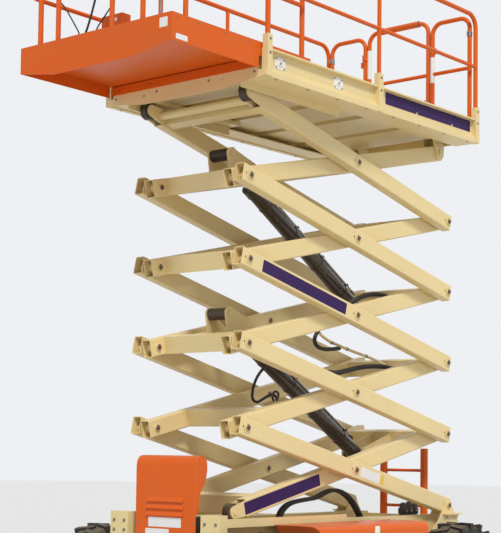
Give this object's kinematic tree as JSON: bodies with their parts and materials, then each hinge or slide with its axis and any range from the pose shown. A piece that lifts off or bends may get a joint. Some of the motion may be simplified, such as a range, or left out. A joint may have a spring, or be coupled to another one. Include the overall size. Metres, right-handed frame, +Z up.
{
  "type": "rough-terrain scissor lift",
  "caption": "Self-propelled scissor lift: stacked crossed arms between a wheeled chassis and a railed platform with a roll-out deck, lift cylinders, steered wheels, gate and side hoods.",
  "frame": {"origin": "on the floor, under the middle of the box around the whole machine", "axes": "+X forward to the roll-out end of the deck, +Y to the left of the machine, +Z up"},
  "size_m": [4.4456, 2.22, 5.9687],
  "materials": {
    "cream_paint": "smooth cream enamel",
    "orange_paint": "smooth orange enamel",
    "deck_plate": "painted non-slip plate",
    "tyre_rubber": "dusty black rubber",
    "wheel_paint": "smooth cream enamel",
    "dark_steel": "oiled dark steel",
    "barrel_paint": "black enamel",
    "rod_chrome": "ground chrome",
    "black_plastic": "matt black plastic",
    "engine_iron": "painted casting"
  },
  "bodies": {
    "chassis": {"chassis_rails": "cream_paint", "track_guards": "cream_paint", "base_brackets": "cream_paint", "cross_members": "cream_paint", "rear_fenders": "cream_paint", "bonnet": "orange_paint", "rear_covers": "orange_paint", "side_trays": "cream_paint", "engine_block": "engine_iron", "fluid_tank": "black_plastic", "ladder": "orange_paint", "valve_block": "dark_steel", "rear_axle": "cream_paint", "front_axle": "cream_paint"},
    "outer_1": {"outer_arms_1": "cream_paint"},
    "inner_1": {"inner_arms_1": "cream_paint", "inner_beams_1": "cream_paint", "base_rollers": "dark_steel"},
    "outer_2": {"outer_arms_2": "cream_paint"},
    "inner_2": {"inner_arms_2": "cream_paint", "inner_beams_2": "cream_paint"},
    "outer_3": {"outer_arms_3": "cream_paint"},
    "inner_3": {"inner_arms_3": "cream_paint", "inner_beams_3": "cream_paint"},
    "outer_4": {"outer_arms_4": "cream_paint"},
    "inner_4": {"inner_arms_4": "cream_paint", "inner_beams_4": "cream_paint"},
    "outer_5": {"outer_arms_5": "cream_paint", "deck_rollers": "dark_steel"},
    "inner_5": {"inner_arms_5": "cream_paint", "inner_beams_5": "cream_paint"},
    "platform": {"side_channels": "cream_paint", "deck_crossbeams": "cream_paint", "deck_tracks": "cream_paint", "deck_floor": "deck_plate", "deck_ends": "cream_paint", "slide_bar": "orange_paint", "side_rails": "orange_paint", "rear_rails": "orange_paint"},
    "rod_lower": {"rod_lower": "rod_chrome"},
    "barrel_lower": {"barrel_lower": "barrel_paint"},
    "rod_upper": {"rod_upper": "rod_chrome"},
    "barrel_upper": {"barrel_upper": "barrel_paint"},
    "extension": {"tray": "orange_paint", "tray_rails": "orange_paint", "control_box": "black_plastic"},
    "gate": {"gate": "orange_paint"},
    "hood_left": {"hood_left": "orange_paint"},
    "hood_right": {"hood_right": "orange_paint"},
    "knuckle_left": {"knuckle_left": "dark_steel"},
    "knuckle_right": {"knuckle_right": "dark_steel"},
    "tie_rod": {"tie_rod": "dark_steel"},
    "wheel_front_left": {"tyre_front_left": "tyre_rubber", "rim_front_left": "wheel_paint"},
    "wheel_front_right": {"tyre_front_right": "tyre_rubber", "rim_front_right": "wheel_paint"},
    "wheel_rear_left": {"tyre_rear_left": "tyre_rubber", "rim_rear_left": "wheel_paint"},
    "wheel_rear_right": {"tyre_rear_right": "tyre_rubber", "rim_rear_right": "wheel_paint"}
  },
  "joints": [
    {"name": "lift", "type": "hinge", "parent": "chassis", "child": "outer_1", "pos_m": [-2.02277, 0, 1.09], "axis": [0, -1, 0], "range_deg": [-9.5, 37]},
    {"name": "centre_pin_1", "type": "hinge", "parent": "outer_1", "child": "inner_1", "pos_m": [-0.5125, 0, 1.43867], "axis": [0, -1, 0], "range_deg": [-74.9, 19.9]},
    {"name": "rear_pin_1", "type": "hinge", "parent": "inner_1", "child": "outer_2", "pos_m": [-2.02277, 0, 1.78735], "axis": [0, -1, 0], "range_deg": [-19.9, 74.9]},
    {"name": "centre_pin_2", "type": "hinge", "parent": "outer_2", "child": "inner_2", "pos_m": [-0.5125, 0, 2.13602], "axis": [0, -1, 0], "range_deg": [-74.9, 19.9]},
    {"name": "rear_pin_2", "type": "hinge", "parent": "inner_2", "child": "outer_3", "pos_m": [-2.02277, 0, 2.4847], "axis": [0, -1, 0], "range_deg": [-19.9, 74.9]},
    {"name": "centre_pin_3", "type": "hinge", "parent": "outer_3", "child": "inner_3", "pos_m": [-0.5125, 0, 2.83337], "axis": [0, -1, 0], "range_deg": [-74.9, 19.9]},
    {"name": "rear_pin_3", "type": "hinge", "parent": "inner_3", "child": "outer_4", "pos_m": [-2.02277, 0, 3.18205], "axis": [0, -1, 0], "range_deg": [-19.9, 74.9]},
    {"name": "centre_pin_4", "type": "hinge", "parent": "outer_4", "child": "inner_4", "pos_m": [-0.5125, 0, 3.53072], "axis": [0, -1, 0], "range_deg": [-74.9, 19.9]},
    {"name": "rear_pin_4", "type": "hinge", "parent": "inner_4", "child": "outer_5", "pos_m": [-2.02277, 0, 3.87939], "axis": [0, -1, 0], "range_deg": [-19.9, 74.9]},
    {"name": "centre_pin_5", "type": "hinge", "parent": "outer_5", "child": "inner_5", "pos_m": [-0.5125, 0, 4.22807], "axis": [0, -1, 0], "range_deg": [-74.9, 19.9]},
    {"name": "deck_pivot", "type": "hinge", "parent": "inner_5", "child": "platform", "pos_m": [-2.02277, 0, 4.57674], "axis": [0, -1, 0], "range_deg": [-9.95, 37.45]},
    {"name": "rod_eye_lower", "type": "hinge", "parent": "inner_3", "child": "rod_lower", "pos_m": [0.65526, 0, 2.77929], "axis": [0, -1, 0], "range_deg": [-19.49, 73.36]},
    {"name": "stroke_lower", "type": "slide", "parent": "rod_lower", "child": "barrel_lower", "axis": [-0.8587, 0, -0.5125], "range_m": [-0.3497, 1.3592]},
    {"name": "rod_eye_upper", "type": "hinge", "parent": "inner_5", "child": "rod_upper", "pos_m": [0.65526, 0, 4.17399], "axis": [0, -1, 0], "range_deg": [-19.49, 73.36]},
    {"name": "stroke_upper", "type": "slide", "parent": "rod_upper", "child": "barrel_upper", "axis": [-0.8587, 0, -0.5125], "range_m": [-0.3497, 1.3592]},
    {"name": "roll_out", "type": "slide", "parent": "platform", "child": "extension", "axis": [1, 0, 0], "range_m": [-0.93, 0.25]},
    {"name": "gate_hinge", "type": "hinge", "parent": "platform", "child": "gate", "pos_m": [-2.04577, -0.415, 5.38974], "axis": [0, 0, -1], "range_deg": [0, 90]},
    {"name": "hood_hinge_left", "type": "hinge", "parent": "chassis", "child": "hood_left", "pos_m": [-0.12223, 0.655, 0.971], "axis": [1, 0, 0], "range_deg": [0, 70]},
    {"name": "hood_hinge_right", "type": "hinge", "parent": "chassis", "child": "hood_right", "pos_m": [-0.12223, -0.655, 0.971], "axis": [-1, 0, 0], "range_deg": [0, 70]},
    {"name": "steering", "type": "hinge", "parent": "chassis", "child": "knuckle_left", "pos_m": [1.07577, 0.68, 0.47203], "axis": [0, 0, 1], "range_deg": [-30, 30]},
    {"name": "steering_right", "type": "hinge", "parent": "chassis", "child": "knuckle_right", "pos_m": [1.07577, -0.68, 0.47203], "axis": [0, 0, 1], "range_deg": [-30.05, 30.05]},
    {"name": "tie_rod_slide", "type": "slide", "parent": "chassis", "child": "tie_rod", "axis": [0, -1, 0], "range_m": [-0.11, 0.11]},
    {"name": "roll_front_left", "type": "hinge", "parent": "knuckle_left", "child": "wheel_front_left", "pos_m": [1.07577, 0.95, 0.47203], "axis": [0, 1, 0], "continuous": true},
    {"name": "roll_front_right", "type": "hinge", "parent": "knuckle_right", "child": "wheel_front_right", "pos_m": [1.07577, -0.95, 0.47203], "axis": [0, 1, 0], "continuous": true},
    {"name": "roll_rear_left", "type": "hinge", "parent": "chassis", "child": "wheel_rear_left", "pos_m": [-1.72277, 0.95, 0.47203], "axis": [0, 1, 0], "continuous": true},
    {"name": "roll_rear_right", "type": "hinge", "parent": "chassis", "child": "wheel_rear_right", "pos_m": [-1.72277, -0.95, 0.47203], "axis": [0, 1, 0], "continuous": true}
  ],
  "couplings": [
    {"joint": "centre_pin_1", "follows": "lift", "ratio": -2},
    {"joint": "rear_pin_1", "follows": "lift", "ratio": 2},
    {"joint": "centre_pin_2", "follows": "lift", "ratio": -2},
    {"joint": "rear_pin_2", "follows": "lift", "ratio": 2},
    {"joint": "centre_pin_3", "follows": "lift", "ratio": -2},
    {"joint": "rear_pin_3", "follows": "lift", "ratio": 2},
    {"joint": "centre_pin_4", "follows": "lift", "ratio": -2},
    {"joint": "rear_pin_4", "follows": "lift", "ratio": 2},
    {"joint": "centre_pin_5", "follows": "lift", "ratio": -2},
    {"joint": "deck_pivot", "follows": "lift", "ratio": 1},
    {"joint": "rod_eye_lower", "follows": "lift", "ratio": 1.9589},
    {"joint": "stroke_lower", "follows": "lift", "m_per_rad": 2.1033},
    {"joint": "rod_eye_upper", "follows": "lift", "ratio": 1.9589},
    {"joint": "stroke_upper", "follows": "lift", "m_per_rad": 2.1033},
    {"joint": "steering_right", "follows": "steering", "ratio": 1},
    {"joint": "tie_rod_slide", "follows": "steering", "m_per_rad": 0.20531}
  ]
}
